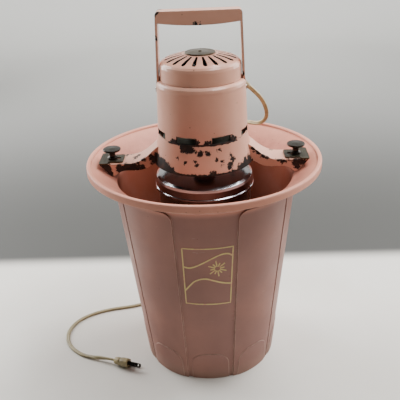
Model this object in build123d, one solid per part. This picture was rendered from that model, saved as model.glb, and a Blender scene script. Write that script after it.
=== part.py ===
from build123d import *
import math
import os

# Electric ice cream freezer, in millimetres.
# Origin: centre of the tub's base, on the surface that it stands on.
# +Z up the tub's axis, +X along the right-hand drive arm, -Y towards the front.

# ---- driving dimensions ----
TUB_BASE_R = 98.0
TUB_MOUTH_R = 125.0
TUB_MOUTH_Z = 296.2
TUB_WALL = 3.0
TUB_FLOOR = 4.0
RIM_R = 165.0
RIM_INNER_R = 158.7
RIM_Z = 322.7
LIP_DROP = 9.5
PANEL_PROUD = 2.3
PANEL_TOP_Z = 292.0
PANEL_CORNER = 13.0
FRONT_DEG = -89.5
FRONT_WIDE_DEG = 37.6
STAVE_COUNT = 8
STAVE_DEG = (360.0 - FRONT_WIDE_DEG) / STAVE_COUNT
GROOVE_DEG = 1.2
PAD_PROUD = 0.8
PAD_WIDE = 54.0
PAD_TALL = 49.0
PAD_CORNER = 20.0
BOSS_R = 16.0
BOSS_TOP_Z = 9.0

PIVOT_R = 5.0
PIVOT_LOW_Z = 2.0
PIVOT_TOP_Z = 19.0

CAN_R = 66.3
CAN_WALL = 1.0
CAN_BOTTOM_Z = 12.0
CAN_TOP_Z = 293.5
LID_R = 69.9
LID_WALL = 1.2
LID_SHOULDER_Z = 298.6
LID_BEAD_Z = 280.0
NECK_R = 17.0
NECK_BORE_R = 11.0
NECK_TOP_Z = 314.0

STEM = 9.0
STEM_TOP_Z = 344.0
POST_R = 7.0
POST_LOW_Z = 18.0
POST_TOP_Z = 290.0
ARM_LOW_Z = 27.0
ARM_HIGH_Z = 268.0
ARM_THICK = 5.0
UPRIGHT_X = 42.0
BLADE_X0 = 55.5
BLADE_X1 = 64.6
BLADE_LOW_Z = 22.0
BLADE_TOP_Z = 280.0
PIN_X = 52.0
PIN_R = 1.45

COLLAR_TOP_Z = 360.0
COLLAR_LOW_Z = 318.5
COLLAR_TOP_R = 62.0
COLLAR_LOW_R = 69.6
SHEET = 2.0
DECK_Z = 327.0
DECK_HOLE_R = 15.0
ARM_HALF_W = 19.0
EAR_END_X = 146.5
EAR_TOP_Z = 319.0
EAR_FOOT_X = 129.0
EAR_FOOT_Z = 301.2
SCREW_X = 129.8
SCREW_R = 3.0
SCREW_HEAD_Z = 333.0
NUT_TALL = 5.0
LATCH_TRAVEL = 9.0
LATCH_Z = EAR_TOP_Z + 0.2
LATCH_THICK = 2.0
LATCH_SLOT_R = 3.4

BODY_LOW_R = 62.2
BODY_TOP_R = 60.0
BODY_TOP_Z = 427.0
SHOULDER_Z = 433.5
BODY_WALL = 1.8
SLOT_COUNT = 8
SLOT_TALL = 8.7
SLOT_DEG = 25.0
SLOT_FIRST_DEG = 24.3
HOUSING_SCREW_R = 52.0
HOUSING_SCREW_DEGS = (-45.0, 112.5, -135.0)
LUG_Z = 373.0
LUG_R = 59.4

CAP_CROWN_Z = 466.4
CAP_WALL = 1.5
VENT_COUNT = 20
VENT_FIRST_DEG = 9.0
VENT_INNER = (25.0, 1.35)
VENT_OUTER = (45.5, 2.7)
MEDALLION_R = 20.5
MEDALLION_PIN_R = 1.5

HANDLE_TOP_Z = 521.3
HANDLE_TOP_X = 55.7
HANDLE_FOOT_X = 58.6
HANDLE_DEPTH = 22.0
STRAP = 3.0
GRIP_TALL = 14.5
GRIP_BOW = 3.7
RIVET_Z = 419.0
LEG_JOG_X = 55.4

MODULE = 0.75
PRESSURE_DEG = 25.0
SMALL_TEETH = 12
LARGE_TEETH = 60
HALF_PITCH = 180.0 / LARGE_TEETH
COUNTER_Y = MODULE * (SMALL_TEETH + LARGE_TEETH) / 2
PILLAR_R = 50.0
PILLAR_DEGS = (-90.0, 30.0, 150.0)
MID_PLATE_Z = 351.0
TOP_PLATE_Z = 366.0
PLATE = 2.0
OUTPUT_LOW_Z = 337.5
OUTPUT_HIGH_Z = 346.0
COUNTER_LOW_Z = 355.5
COUNTER_HIGH_Z = 363.0
COUNTER_R = 2.5
HUB_R = 12.0
HUB_BORE_R = 9.0

SHAFT_R = 3.0
SHAFT_LOW_Z = 354.6
SHAFT_TOP_Z = 446.0
STACK_LOW_Z = 378.0
STACK_TALL = 22.0
STACK_HIGH_Z = STACK_LOW_Z + STACK_TALL
BRACKET_Z = 419.0
FAN_Z = 432.0
POLE_R = 18.2
ROTOR_R = 17.8
STATOR_R = 44.0
STATOR_INNER_R = 34.0
STATOR_SCREW_X = 39.0

RELIEF_AZ = 26.0
RELIEF_R = 61.0
RELIEF_Z = 420.6
RELIEF_TILT = 40.0
RELIEF_HALF_W = 5.0
RELIEF_INSIDE = 5.0
RELIEF_LONG = 15.8
CORD_W = 6.2
FLOOR_Z = CORD_W / 2 + 0.05
COIL_R = 36.0
COIL_X = -4.0
COIL_Y = 240.0
PLUG_X, PLUG_Y, PLUG_Z = -126.0, -70.5, 7.6
PLUG_TURN = -19.0
PLUG_ROLL = 45.0
PLUG_LONG = 24.0
BLADE_HALF_GAP = 6.35
BLADE_LONG = 17.5

FIT = 0.05
GAP = 0.3
SCREW_HOLE_R = 2.2
BASE = (Align.CENTER, Align.CENTER, Align.MIN)


# outlines as (distance from the axis, height)
ARM_TOP = [(60.0, 345.0), (66.0, 341.0), (72.0, 335.6), (80.0, 328.8), (88.0, 323.8), (96.0, 320.4)]
ARM_TOP += [(104.0, 319.2)]
ARM_LOW = [(118.0, 307.0), (111.0, 309.2), (96.0, 309.2), (86.0, 310.4), (78.0, 313.2), (72.0, 317.0)]
ARM_LOW += [(60.0, 318.5)]
CAP_SIDE = [(54.5, 433.8), (54.3, 451.0), (53.6, 454.6)]
CAP_CROWN = [(51.4, 457.4), (47.5, 459.6), (38.0, 462.6), (24.0, 465.6), (22.0, 466.0), (0, CAP_CROWN_Z)]

os.makedirs("parts", exist_ok=True)


# ---- helpers ----
def rod(radius, low, high, x=0.0, y=0.0):
    """A solid cylinder along Z."""
    return Pos(x, y, low) * Cylinder(radius, high - low, align=BASE)


def tube(outer, inner, low, high, x=0.0, y=0.0):
    return rod(outer, low, high, x, y) - rod(inner, low - 1, high + 1, x, y)


def block(x0, x1, y0, y1, z0, z1):
    return Pos(x0, y0, z0) * Box(x1 - x0, y1 - y0, z1 - z0, align=(Align.MIN,) * 3)


def turned(*points):
    """A solid of revolution about Z from (radius, height) points."""
    outline = Plane.XZ * make_face(Polyline(*points, close=True))
    return revolve(outline, Axis.Z)


def ring_of(piece, degrees):
    """Copies of a piece turned about Z."""
    return [Rot(0, 0, angle) * piece for angle in degrees]


def polar(radius, degrees):
    angle = math.radians(degrees)
    return radius * math.cos(angle), radius * math.sin(angle)


def tub_radius(z):
    """Radius of the recessed outer wall at a height."""
    return TUB_BASE_R + (TUB_MOUTH_R + TUB_WALL - TUB_BASE_R) * z / TUB_MOUTH_Z


def flange_z(radius):
    """Height of the flange's upper face at a radius."""
    rise = (RIM_Z - 4.0 - TUB_MOUTH_Z) / (RIM_INNER_R - TUB_MOUTH_R)
    return TUB_MOUTH_Z + (radius - TUB_MOUTH_R) * rise


# ---- tub ----
def wall_band(proud, low, high):
    """A thin layer that stands proud of the tub's outer wall."""
    return turned(
        (tub_radius(low) - 1.5, low),
        (tub_radius(low) + proud, low),
        (tub_radius(high) + proud, high),
        (tub_radius(high) - 1.5, high),
    )


def panel_outline():
    """A raised panel seen straight on: it widens upwards and its top corners are round."""
    half_angle = math.radians((STAVE_DEG - GROOVE_DEG) / 2)
    low = tub_radius(0) * math.sin(half_angle)
    high = tub_radius(PANEL_TOP_Z) * math.sin(half_angle)
    face = make_face(Polyline((-low, 0), (low, 0), (high, PANEL_TOP_Z), (-high, PANEL_TOP_Z), close=True))
    return fillet(face.vertices().group_by(Axis.Y)[-1], PANEL_CORNER)


def raised(face, band, degrees):
    """The part of a band that lies behind an outline, on the side of the tub at this bearing."""
    cutter = extrude(Plane.XZ * face, 150.0)
    return Rot(0, 0, degrees + 90.0) * (band & cutter)


def foot_pad_outline():
    half = PAD_WIDE / 2
    face = make_face(Polyline((-half, 0), (half, 0), (half, PAD_TALL), (-half, PAD_TALL), close=True))
    return fillet(face.vertices().group_by(Axis.Y)[-1], PAD_CORNER)


def tub_shell():
    lip_low = RIM_Z - LIP_DROP
    shell = turned(
        (0, 0),
        (TUB_BASE_R, 0),
        (tub_radius(TUB_MOUTH_Z - 4.0), TUB_MOUTH_Z - 4.0),
        (RIM_R - 3.4, flange_z(RIM_R - 3.4) - 4.2),
        (RIM_R - 3.0, lip_low),
        (RIM_R, lip_low),
        (RIM_R, RIM_Z - 2.2),
        (RIM_R - 0.7, RIM_Z - 0.6),
        (RIM_R - 2.2, RIM_Z),
        (RIM_INNER_R + 1.4, RIM_Z - 0.2),
        (RIM_INNER_R + 0.2, RIM_Z - 1.4),
        (RIM_INNER_R, flange_z(RIM_INNER_R)),
        (TUB_MOUTH_R + 3.0, flange_z(TUB_MOUTH_R + 3.0)),
        (TUB_MOUTH_R + 0.9, TUB_MOUTH_Z + 0.2),
        (TUB_MOUTH_R, TUB_MOUTH_Z - 2.0),
        (TUB_BASE_R - TUB_WALL, TUB_FLOOR),
        (BOSS_R, TUB_FLOOR),
        (BOSS_R - 4.0, BOSS_TOP_Z),
        (0, BOSS_TOP_Z),
    )
    return shell - rod(PIVOT_R, PIVOT_LOW_Z, BOSS_TOP_Z + 1)


def make_tub():
    """Wide-rimmed tub with a recessed front, eight raised panels and a foot pad on each side."""
    first = FRONT_DEG + (FRONT_WIDE_DEG + STAVE_DEG) / 2
    staves = [first + i * STAVE_DEG for i in range(STAVE_COUNT)]
    panel, pad = panel_outline(), foot_pad_outline()
    tub = tub_shell() + raised(pad, wall_band(PAD_PROUD, 0.0, PAD_TALL), FRONT_DEG)
    for degrees in staves:
        tub += raised(panel, wall_band(PANEL_PROUD, 0.0, PANEL_TOP_Z), degrees)
        tub += raised(pad, wall_band(PANEL_PROUD + PAD_PROUD, 0.0, PAD_TALL), degrees)
    return tub


def make_pivot_pin():
    pin = rod(PIVOT_R, PIVOT_LOW_Z, PIVOT_TOP_Z)
    return chamfer(pin.edges().group_by(Axis.Z)[-1], 1.2)


# ---- canister and lid ----
def make_can():
    """Spun canister: rolled top bead, foot ring, and a cup in its floor that turns on the pivot pin."""
    inner = CAN_R - CAN_WALL
    floor = CAN_BOTTOM_Z + 3.0
    return turned(
        (PIVOT_R + FIT, CAN_BOTTOM_Z + 1.0),
        (inner - 2.0, CAN_BOTTOM_Z + 1.0),
        (inner - 1.0, CAN_BOTTOM_Z),
        (CAN_R, CAN_BOTTOM_Z),
        (CAN_R, CAN_TOP_Z - 2.6),
        (CAN_R + 1.4, CAN_TOP_Z - 2.2),
        (CAN_R + 1.8, CAN_TOP_Z - 1.1),
        (CAN_R + 1.2, CAN_TOP_Z),
        (inner, CAN_TOP_Z),
        (inner, floor),
        (7.0, floor),
        (7.0, PIVOT_TOP_Z + 3.0),
        (0, PIVOT_TOP_Z + 3.0),
        (0, PIVOT_TOP_Z + 1.0),
        (PIVOT_R + FIT, PIVOT_TOP_Z + 1.0),
    )


def lid_shell():
    top = LID_SHOULDER_Z
    skirt = LID_R - LID_WALL
    return turned(
        (NECK_BORE_R, top + 2.4),
        (NECK_BORE_R, NECK_TOP_Z),
        (NECK_R, NECK_TOP_Z),
        (NECK_R, top + 6.0),
        (NECK_R + 3.0, top + 3.6),
        (40.0, top + 2.6),
        (58.0, top + 1.6),
        (LID_R - 5.0, top + 0.6),
        (LID_R - 1.6, top - 1.4),
        (LID_R - 0.2, top - 5.0),
        (LID_R - 0.2, LID_BEAD_Z + 4.0),
        (LID_R + 0.9, LID_BEAD_Z + 3.2),
        (LID_R + 1.3, LID_BEAD_Z + 1.6),
        (LID_R + 0.7, LID_BEAD_Z),
        (skirt, LID_BEAD_Z),
        (skirt, top - 5.6),
        (LID_R - 3.0, top - 2.8),
        (LID_R - 6.0, top - 0.9),
        (58.0, top + 0.2),
        (40.0, top + 1.2),
        (NECK_R + 2.0, top + 2.4),
    )


def make_lid():
    """Lid with a neck; two notches in the neck take the hub's dogs."""
    notch = block(11.5, 18.0, -4.8, 4.8, NECK_TOP_Z - 4.5, NECK_TOP_Z + 1)
    return lid_shell() - ring_of(notch, (0, 180))


def make_stem_bush():
    body = rod(NECK_BORE_R - FIT, 301.4, 311.0) + rod(14.0, 298.8, 300.7) + rod(10.0, 300.7, 301.4)
    hole = STEM / 2 + FIT
    return body - block(-hole, hole, -hole, hole, 290, 320)


# ---- dasher ----
def make_dasher_frame():
    """Post with a square stem, two cross arms and two uprights; its foot stands over the can's cup."""
    post = rod(POST_R, POST_LOW_Z, POST_TOP_Z) + rod(POST_R + 2.5, POST_LOW_Z, ARM_LOW_Z + 7.0)
    half = STEM / 2
    stem = block(-half, half, -half, half, POST_TOP_Z - 2.0, STEM_TOP_Z)
    arms = [block(-62, 62, -5, 5, z, z + ARM_THICK) for z in (ARM_LOW_Z, ARM_HIGH_Z)]
    top = ARM_HIGH_Z + ARM_THICK
    uprights = [block(x - 2.5, x + 2.5, -6, 6, ARM_LOW_Z, top) for x in (-UPRIGHT_X, UPRIGHT_X)]
    frame = post + stem + arms + uprights - rod(POST_R + FIT, CAN_BOTTOM_Z, PIVOT_TOP_Z + 3.4)
    for z in (ARM_LOW_Z, ARM_HIGH_Z):
        slot = block(BLADE_X0 - 0.1, 70, -3.6, 3.6, z - 1, z + 6)
        pin_hole = rod(PIN_R + FIT, z - 1, z + 6, PIN_X)
        frame -= ring_of(slot, (0, 180)) + ring_of(pin_hole, (0, 180))
    return frame


def make_scraper_blades():
    """Two wiper strips that slide over the arms' ends, each held by two pins."""
    edge = BLADE_X1 - 3.0
    blade = block(BLADE_X0, edge, -3.4, 3.4, BLADE_LOW_Z, BLADE_TOP_Z)
    blade += block(edge, BLADE_X1 - 0.6, -1.6, 1.6, BLADE_LOW_Z, BLADE_TOP_Z)
    for z in (ARM_LOW_Z, ARM_HIGH_Z):
        blade += block(50.2, BLADE_X0, -3.4, 3.4, z + 5.2, z + 9.2)
        blade -= rod(PIN_R + FIT, z + 4, z + 11, PIN_X)
    return Compound(ring_of(blade, (0, 180)))


def make_scraper_pins():
    pins = []
    for z in (ARM_LOW_Z, ARM_HIGH_Z):
        pin = rod(PIN_R, z - 0.6, z + 9.8, PIN_X) + rod(2.6, z - 1.8, z - 0.2, PIN_X)
        pins += ring_of(pin, (0, 180))
    return Compound(pins)


# ---- lower frame: collar, deck and two channel arms ----
def arm_outline():
    """Side view of an arm: crest line, ear, end wall down to the foot, and the side walls' lower edge."""
    crest = Spline(*ARM_TOP, (112.0, EAR_TOP_Z))
    ear = Line(crest @ 1, (EAR_END_X, EAR_TOP_Z))
    end = Line((EAR_END_X, EAR_TOP_Z), (EAR_FOOT_X + 1.0, EAR_FOOT_Z))
    foot = Line((EAR_FOOT_X + 1.0, EAR_FOOT_Z), (EAR_FOOT_X - 3.0, EAR_FOOT_Z))
    rise = Line((EAR_FOOT_X - 3.0, EAR_FOOT_Z), ARM_LOW[0])
    low = Spline(*ARM_LOW)
    back = Line(ARM_LOW[-1], ARM_TOP[0])
    return make_face([crest, ear, end, foot, rise, low, back])


def arm_solid():
    return extrude(Plane.XZ * arm_outline(), ARM_HALF_W, both=True)


def arm_hollow():
    """The channel's inside: the same side view, one sheet lower, open below."""
    below = EAR_FOOT_Z - 10.0
    crest = Spline(*[(x, z - SHEET - 0.3) for x, z in ARM_TOP], (112.0, EAR_TOP_Z - SHEET))
    inner = make_face(
        [
            crest,
            Polyline(
                crest @ 1,
                (EAR_END_X - 5.0, EAR_TOP_Z - SHEET),
                (EAR_FOOT_X - 3.5, EAR_FOOT_Z),
                (EAR_FOOT_X - 3.5, below),
                (ARM_TOP[0][0], below),
                crest @ 0,
            ),
        ]
    )
    return extrude(Plane.XZ * inner, ARM_HALF_W - SHEET, both=True)


def collar_profile(offset):
    """Outer line of the collar: nearly straight above, flaring below."""
    rows = [(COLLAR_TOP_R, COLLAR_TOP_Z), (COLLAR_TOP_R + 1.2, 352.0), (65.0, 342.0), (67.2, 332.0)]
    rows += [(68.7, 324.0), (COLLAR_LOW_R, COLLAR_LOW_Z)]
    return [(radius - offset, z) for radius, z in rows]


def make_lower_frame():
    outer = collar_profile(0.0)
    inner = collar_profile(SHEET)
    filled = turned(*outer, (0, COLLAR_LOW_Z), (0, COLLAR_TOP_Z))
    core = turned(*inner, (0, COLLAR_LOW_Z), (0, COLLAR_TOP_Z))
    arms = [arm_solid(), Rot(0, 0, 180) * arm_solid()]
    hollows = [arm_hollow(), Rot(0, 0, 180) * arm_hollow()]
    frame = filled + arms
    frame -= hollows
    frame -= core
    frame += rod(COLLAR_LOW_R - 2.4, DECK_Z, DECK_Z + SHEET) & filled
    holes = [(DECK_HOLE_R, 0, 0)]
    holes += [(SCREW_HOLE_R, *polar(PILLAR_R, degrees)) for degrees in PILLAR_DEGS]
    holes += [(SCREW_HOLE_R, *polar(HOUSING_SCREW_R, degrees)) for degrees in HOUSING_SCREW_DEGS]
    for radius, x, y in holes:
        frame -= rod(radius, DECK_Z - 1, DECK_Z + SHEET + 1, x, y)
    for side in (-1, 1):
        frame -= rod(LATCH_SLOT_R, EAR_TOP_Z - SHEET - 1, EAR_TOP_Z + 1, side * SCREW_X)
    return frame


def make_clamp_nuts():
    high = EAR_TOP_Z - SHEET
    low = high - NUT_TALL
    nuts = []
    for side in (-1, 1):
        nut = Pos(side * SCREW_X, 0, low) * extrude(RegularPolygon(6.5, 6), high - low)
        nuts.append(nut - rod(SCREW_R + FIT, low - 1, high + 1, side * SCREW_X))
    return Compound(nuts)


# ---- latches ----
def make_latch_plate(side):
    """T-shaped plate with a slot for the thumb screw; its wide end faces the tub's rim."""
    top = LATCH_Z + LATCH_THICK
    inner = block(113.5, 136.0, -14.0, 14.0, LATCH_Z, top)
    outer = block(134.0, 147.0, -20.5, 20.5, LATCH_Z, top)
    outer = fillet(outer.edges().filter_by(Axis.Z).group_by(Axis.X)[-1], 3.0)
    plate = fillet((inner + outer).edges().filter_by(Axis.Z).group_by(Axis.X)[0], 3.0)
    plate -= block(SCREW_X - LATCH_TRAVEL, SCREW_X, -LATCH_SLOT_R, LATCH_SLOT_R, LATCH_Z - 1, top + 1)
    for x in (SCREW_X - LATCH_TRAVEL, SCREW_X):
        plate -= rod(LATCH_SLOT_R, LATCH_Z - 1, top + 1, x)
    return plate if side > 0 else Rot(0, 0, 180) * plate


def make_thumb_screw(side):
    """Threaded shank, flared neck and a domed disc head."""
    seat = LATCH_Z + LATCH_THICK + 0.2
    head = SCREW_HEAD_Z
    tip = EAR_TOP_Z - SHEET - NUT_TALL - 3.0
    screw = turned(
        (0, tip),
        (SCREW_R - 0.8, tip),
        (SCREW_R, tip + 0.8),
        (SCREW_R, seat),
        (7.2, seat),
        (7.2, seat + 2.0),
        (4.6, seat + 4.0),
        (4.4, head - 4.5),
        (6.4, head - 1.6),
        (12.2, head),
        (12.8, head + 1.4),
        (12.2, head + 2.8),
        (0, head + 3.6),
    )
    return Pos(side * SCREW_X, 0, 0) * screw


# ---- housing ----
def make_housing_body():
    low = COLLAR_TOP_Z + 0.4
    body = turned(
        (BODY_LOW_R, low),
        (BODY_TOP_R + 0.2, BODY_TOP_Z - 3.0),
        (BODY_TOP_R + 0.5, BODY_TOP_Z),
        (BODY_TOP_R - 0.1, BODY_TOP_Z + 3.6),
        (BODY_TOP_R - 2.2, SHOULDER_Z - 0.8),
        (BODY_TOP_R - 4.4, SHOULDER_Z),
        (50.0, SHOULDER_Z),
        (50.0, SHOULDER_Z - BODY_WALL),
        (BODY_TOP_R - 5.0, SHOULDER_Z - BODY_WALL),
        (BODY_TOP_R - 1.9, BODY_TOP_Z),
        (BODY_TOP_R + 0.2 - BODY_WALL, BODY_TOP_Z - 4.0),
        (BODY_LOW_R - BODY_WALL, low),
    )
    half = BODY_LOW_R * math.sin(math.radians(SLOT_DEG / 2))
    slot = block(50.0, 70.0, -half, half, low - 1, low + SLOT_TALL)
    body -= ring_of(slot, [SLOT_FIRST_DEG + i * 360.0 / SLOT_COUNT for i in range(SLOT_COUNT)])
    for side in (-1, 1):
        x0, x1 = sorted((side * 54.0, side * 59.2))
        body -= block(x0, x1, -HANDLE_DEPTH / 2 - GAP, HANDLE_DEPTH / 2 + GAP, BODY_TOP_Z, SHOULDER_Z + 2)
        body -= Pos(side * 55, 0, RIVET_Z) * Rot(0, 90, 0) * Cylinder(2.05, 14)
    body -= relief_cutter()
    return body


def vent():
    """One tapered radial vent, wider outwards, with round ends."""
    (x0, half0), (x1, half1) = VENT_INNER, VENT_OUTER
    face = make_face(Polyline((x0, -half0), (x1, -half1), (x1, half1), (x0, half0), close=True))
    face += Pos(x0, 0) * Circle(half0)
    face += Pos(x1, 0) * Circle(half1)
    return Pos(0, 0, CAP_CROWN_Z - 16.0) * extrude(face, 30.0)


def make_housing_cap():
    """Vented dome: straight sides, then a crown that rises to the medallion."""
    inner = [(radius - CAP_WALL, z) for radius, z in CAP_SIDE]
    inner += [(max(0, radius - 0.4), z - CAP_WALL) for radius, z in CAP_CROWN]
    dome = turned(*CAP_SIDE, *CAP_CROWN, *reversed(inner))
    dome -= ring_of(vent(), [VENT_FIRST_DEG + i * 360.0 / VENT_COUNT for i in range(VENT_COUNT)])
    return dome - rod(MEDALLION_PIN_R + 0.1, CAP_CROWN_Z - 6, CAP_CROWN_Z + 4)


def make_medallion():
    """Domed plate with a raised edge bead and a centre rivet that goes through the cap."""
    low = CAP_CROWN_Z + 0.2
    plate = turned(
        (0, low),
        (MEDALLION_R, low - 0.3),
        (MEDALLION_R, low + 0.6),
        (MEDALLION_R - 0.8, low + 1.2),
        (MEDALLION_R - 2.0, low + 0.9),
        (8.0, low + 1.6),
        (2.4, low + 1.7),
        (2.2, low + 2.6),
        (0, low + 3.0),
    )
    return plate + rod(MEDALLION_PIN_R, low - 3.6, low + 0.4)


def handle_leg_points():
    """Outer face of a leg, from its hidden tab up to the grip."""
    return [
        (LEG_JOG_X, RIVET_Z - 7.0),
        (LEG_JOG_X, RIVET_Z + 8.0),
        (HANDLE_FOOT_X, SHOULDER_Z),
        (HANDLE_TOP_X, HANDLE_TOP_Z - 6.0),
    ]


def make_handle():
    """Bent strap: two legs, and a grip with folded front and back flanges whose lower edges are bowed."""
    outer = handle_leg_points()
    inner = [(x - STRAP, z) for x, z in outer]
    half = HANDLE_DEPTH / 2
    leg = extrude(Plane.XZ * make_face(Polyline(*outer, *reversed(inner), close=True)), half, both=True)
    legs = leg + mirror(leg, about=Plane.YZ)
    top, low, shoulder = HANDLE_TOP_Z, HANDLE_TOP_Z - GRIP_TALL, HANDLE_TOP_Z - GRIP_TALL + 6.0
    x_out, x_in = HANDLE_TOP_X, HANDLE_TOP_X - STRAP
    ends = [(-x_in, low), (-x_out, shoulder), (-x_out, top), (x_out, top), (x_out, shoulder), (x_in, low)]
    front = make_face([Polyline(*ends), ThreePointArc((x_in, low), (0, low - GRIP_BOW), (-x_in, low))])
    front = fillet(front.vertices().group_by(Axis.Y)[-1], 5.0)
    solid_grip = extrude(Plane.XZ * front, half, both=True)
    hollow = block(-x_in, x_in, -half + 2.2, half - 2.2, low - 10.0, top - 2.4)
    handle = solid_grip - hollow + legs
    for side in (-1, 1):
        handle -= Pos(side * 54, 0, RIVET_Z) * Rot(0, 90, 0) * Cylinder(2.05, 12)
    return handle


def make_handle_rivets():
    rivets = []
    for side in (-1, 1):
        rivet = Pos(side * 55.85, 0, RIVET_Z) * Rot(0, 90, 0) * Cylinder(2.0, 10.3)
        rivet += Pos(side * 51.3, 0, RIVET_Z) * Rot(0, 90, 0) * Cylinder(3.4, 1.4)
        rivet += Pos(side * 61.0, 0, RIVET_Z) * Rot(0, 90, 0) * Cylinder(3.2, 0.7)
        rivets.append(rivet)
    return Compound(rivets)


# ---- gears ----
def involute(angle):
    return math.tan(angle) - angle


def gear_face(teeth):
    """Outline of a spur gear with involute flanks and a little backlash."""
    pressure = math.radians(PRESSURE_DEG)
    pitch_r = MODULE * teeth / 2
    base_r = pitch_r * math.cos(pressure)
    tip_r = pitch_r + 0.9 * MODULE
    root_r = pitch_r - 1.3 * MODULE
    half_tooth = (math.pi * MODULE / 2 - 0.16) / (2 * pitch_r)
    start_r = max(base_r, root_r)
    flank = []
    for step in range(6):
        radius = start_r + (tip_r - start_r) * step / 5
        turn = half_tooth + involute(pressure) - involute(math.acos(min(1.0, base_r / radius)))
        flank.append((radius, turn))
    flank.insert(0, (root_r, flank[0][1] if start_r > root_r else flank[0][1] + 0.25 * half_tooth))
    points = []
    for tooth in range(teeth):
        middle = 2 * math.pi * tooth / teeth
        points += [(r * math.cos(middle - a), r * math.sin(middle - a)) for r, a in flank]
        points += [(r * math.cos(middle + a), r * math.sin(middle + a)) for r, a in reversed(flank)]
    return make_face(Polyline(*points, close=True))


def spur_gear(teeth, low, high, bore, turn=0.0, y=0.0):
    wheel = Rot(0, 0, turn) * extrude(gear_face(teeth), high - low)
    wheel = Pos(0, y, low) * wheel
    return wheel - rod(bore, low - 1, high + 1, 0, y)


def make_output_hub():
    """Hollow hub: journal in the deck's bearing, a flange under it and two dogs that drive the lid."""
    flange_low, flange_high = 318.0, 321.5
    hub = rod(HUB_R, flange_low, OUTPUT_HIGH_Z) + rod(HUB_R + 4.5, flange_low, flange_high)
    hub -= rod(HUB_BORE_R, flange_low - 1, OUTPUT_HIGH_Z + 1)
    dogs = [Pos(x, 0, flange_low - 7.4) * Box(3.6, 6.4, 9.0, align=BASE) for x in (-14.3, 14.3)]
    return hub + dogs


def make_counter_gear():
    return spur_gear(LARGE_TEETH, COUNTER_LOW_Z, COUNTER_HIGH_Z, COUNTER_R, HALF_PITCH, COUNTER_Y)


def make_counter_pinion():
    low, high = OUTPUT_LOW_Z - 0.5, OUTPUT_HIGH_Z + 0.5
    return spur_gear(SMALL_TEETH, low, high, COUNTER_R, 0.0, COUNTER_Y)


def make_output_bearing():
    top = DECK_Z + SHEET
    return tube(DECK_HOLE_R, HUB_R + FIT, 326.0, 333.0) + tube(DECK_HOLE_R + 3, HUB_R + FIT, top, top + 1.6)


def make_stem_socket():
    """Fixed square socket that hangs from the middle plate and holds the dasher's stem still."""
    socket = rod(8.6, 322.0, MID_PLATE_Z) + rod(14.0, MID_PLATE_Z - 1.8, MID_PLATE_Z)
    hole = STEM / 2 + 0.1
    return socket - block(-hole, hole, -hole, hole, 300, STEM_TOP_Z + 1.0)


def plate_with_holes(low, bearing_r, centre_r):
    plate = rod(55.5, low, low + PLATE)
    for degrees in PILLAR_DEGS:
        x, y = polar(PILLAR_R, degrees)
        plate -= rod(SCREW_HOLE_R, low - 1, low + 4, x, y)
    for degrees in HOUSING_SCREW_DEGS:
        x, y = polar(HOUSING_SCREW_R, degrees)
        plate -= rod(4.6, low - 1, low + 4, x, y)
    if centre_r:
        plate -= rod(centre_r, low - 1, low + 4)
        for side in (-1, 1):
            plate -= rod(2.05, low - 1, low + 4, side * STATOR_SCREW_X)
    return plate - rod(bearing_r, low - 1, low + 4, 0, COUNTER_Y)


def make_plate_spacers():
    spans = ((DECK_Z + SHEET, MID_PLATE_Z), (MID_PLATE_Z + PLATE, TOP_PLATE_Z))
    pieces = []
    for degrees in PILLAR_DEGS:
        x, y = polar(PILLAR_R, degrees)
        pieces += [tube(4.2, SCREW_HOLE_R, low, high, x, y) for low, high in spans]
    return Compound(pieces)


def make_gearcase_screws():
    screws = []
    for degrees in PILLAR_DEGS:
        x, y = polar(PILLAR_R, degrees)
        top = TOP_PLATE_Z + PLATE
        screw = rod(2.0, DECK_Z - 3.0, top, x, y) + rod(3.8, top, top + 2.4, x, y)
        nut = Pos(x, y, DECK_Z - 3.0) * extrude(RegularPolygon(3.9, 6), 3.0)
        screws.append(screw + nut)
    return Compound(screws)


def make_countershaft():
    return rod(COUNTER_R, DECK_Z + 3.0, TOP_PLATE_Z + 5.0, 0, COUNTER_Y)


def make_countershaft_bushes():
    bore, deck_top = COUNTER_R + FIT, DECK_Z + SHEET
    low = tube(4.5, bore, deck_top, deck_top + 5.0, 0, COUNTER_Y)
    high = tube(4.5, bore, TOP_PLATE_Z, TOP_PLATE_Z + 5.2, 0, COUNTER_Y)
    return Compound([low, high])


# ---- motor ----
def make_stator_core():
    """Laminated ring with two poles and a through hole each side."""
    low, high = STACK_LOW_Z, STACK_HIGH_Z
    core = tube(STATOR_R, STATOR_INNER_R, low, high)
    core += ring_of(block(-15, 15, 16, 37, low, high), (0, 180))
    core -= rod(POLE_R, low - 1, high + 1)
    for side in (-1, 1):
        core -= rod(SCREW_HOLE_R, low - 1, high + 1, side * STATOR_SCREW_X)
    return core


def make_stator_coils():
    """One wound coil round each pole."""
    low, high = STACK_LOW_Z, STACK_HIGH_Z
    coil = block(-21.0, 21.0, 21.5, 33.0, low - 6.0, high + 6.0)
    coil = fillet(coil.edges().filter_by(Axis.Y), 4.0)
    coil -= block(-15.2, 15.2, 20.5, 34.0, low - 0.2, high + 0.2)
    coil &= rod(STATOR_INNER_R - 0.2, low - 10, high + 10)
    return Compound(ring_of(coil, (0, 180)))


def make_stator_screws():
    top = BRACKET_Z + PLATE
    screw = rod(2.0, TOP_PLATE_Z - 2.0, top, STATOR_SCREW_X) + rod(3.8, top, top + 2.4, STATOR_SCREW_X)
    return Compound(ring_of(screw, (0, 180)))


def make_stator_spacers():
    pieces = []
    for low, high in ((TOP_PLATE_Z + PLATE, STACK_LOW_Z), (STACK_HIGH_Z, BRACKET_Z)):
        pieces += ring_of(tube(4.0, SCREW_HOLE_R, low, high, STATOR_SCREW_X), (0, 180))
    return Compound(pieces)


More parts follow.
